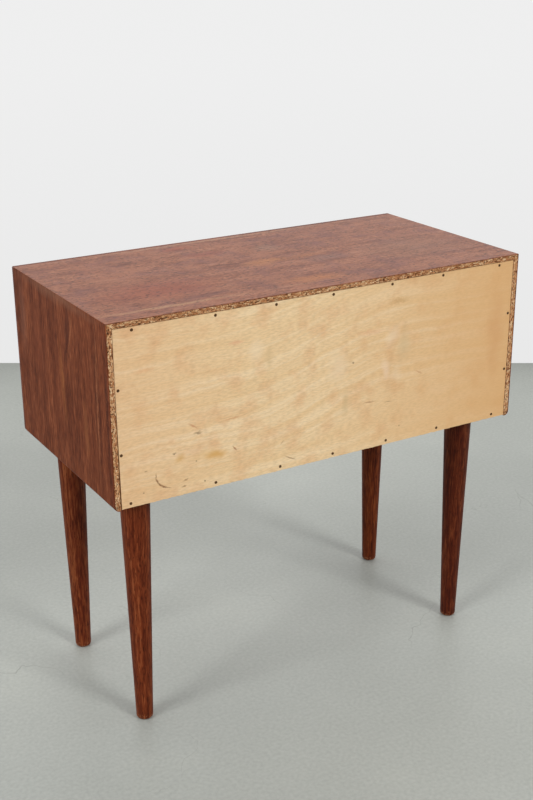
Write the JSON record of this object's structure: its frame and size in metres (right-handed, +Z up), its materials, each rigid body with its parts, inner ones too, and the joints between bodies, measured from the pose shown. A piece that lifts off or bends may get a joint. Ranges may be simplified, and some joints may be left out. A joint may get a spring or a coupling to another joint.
{
  "type": "sewing table",
  "caption": "Low teak-veneered sewing table: a mitred case on round tapered legs, with inset drawers, a section of spool pegs, a sliding tray and a nailed plywood back.",
  "frame": {"origin": "centre of the footprint on the floor, under the middle of the case", "axes": "+X to the right as seen from the drawers' side, -Y out of the drawer fronts, +Y out of the plywood back, +Z up"},
  "size_m": [0.6, 0.296, 0.56],
  "materials": {
    "teak_veneer": "satin oiled teak veneer",
    "solid_teak": "satin oiled solid teak",
    "plywood": "bare plywood",
    "beech": "lightly lacquered beech",
    "zinc_steel": "zinc plated"
  },
  "bodies": {
    "case": {"top_panel": "teak_veneer", "bottom_panel": "teak_veneer", "left_side_panel": "teak_veneer", "right_side_panel": "teak_veneer", "back_panel": "plywood", "top_lipping": "solid_teak", "bottom_lipping": "solid_teak", "left_lipping": "solid_teak", "right_lipping": "solid_teak", "front_left_leg": "solid_teak", "front_right_leg": "solid_teak", "back_left_leg": "solid_teak", "back_right_leg": "solid_teak", "front_left_hanger_bolt": "zinc_steel", "front_right_hanger_bolt": "zinc_steel", "back_left_hanger_bolt": "zinc_steel", "back_right_hanger_bolt": "zinc_steel", "front_left_flanged_nut": "zinc_steel", "front_right_flanged_nut": "zinc_steel", "back_left_flanged_nut": "zinc_steel", "back_right_flanged_nut": "zinc_steel", "lower_left_runner": "beech", "lower_right_runner": "beech", "upper_left_runner": "beech", "upper_right_runner": "beech"},
    "lower_drawer": {"lower_drawer_front": "teak_veneer", "lower_drawer_pull": "solid_teak", "lower_drawer_left_side": "beech", "lower_drawer_right_side": "beech", "lower_drawer_back": "beech", "lower_drawer_bottom": "plywood"},
    "upper_drawer": {"upper_drawer_front": "teak_veneer", "upper_drawer_pull": "solid_teak", "upper_drawer_left_side": "beech", "upper_drawer_right_side": "beech", "upper_drawer_back": "beech", "upper_drawer_bottom": "plywood", "section_divider": "beech", "spool_board": "beech", "spool_peg_01": "beech", "spool_peg_02": "beech", "spool_peg_03": "beech", "spool_peg_04": "beech", "spool_peg_05": "beech", "spool_peg_06": "beech", "spool_peg_07": "beech", "spool_peg_08": "beech", "spool_peg_09": "beech", "spool_peg_10": "beech", "front_tray_ledge": "beech", "back_tray_ledge": "beech", "low_divider_1": "beech", "low_divider_2": "beech"},
    "thread_tray": {"tray_left_wall": "beech", "tray_right_wall": "beech", "tray_front_wall": "beech", "tray_back_wall": "beech", "tray_bottom": "plywood", "tray_long_divider": "beech", "tray_cross_divider": "beech"}
  },
  "joints": [
    {"name": "lower_drawer_slide", "type": "slide", "parent": "case", "child": "lower_drawer", "axis": [0, -1, 0], "range_m": [0, 0.19]},
    {"name": "upper_drawer_slide", "type": "slide", "parent": "case", "child": "upper_drawer", "axis": [0, -1, 0], "range_m": [0, 0.19]},
    {"name": "thread_tray_slide", "type": "slide", "parent": "upper_drawer", "child": "thread_tray", "axis": [1, 0, 0], "range_m": [0, 0.183]}
  ]
}
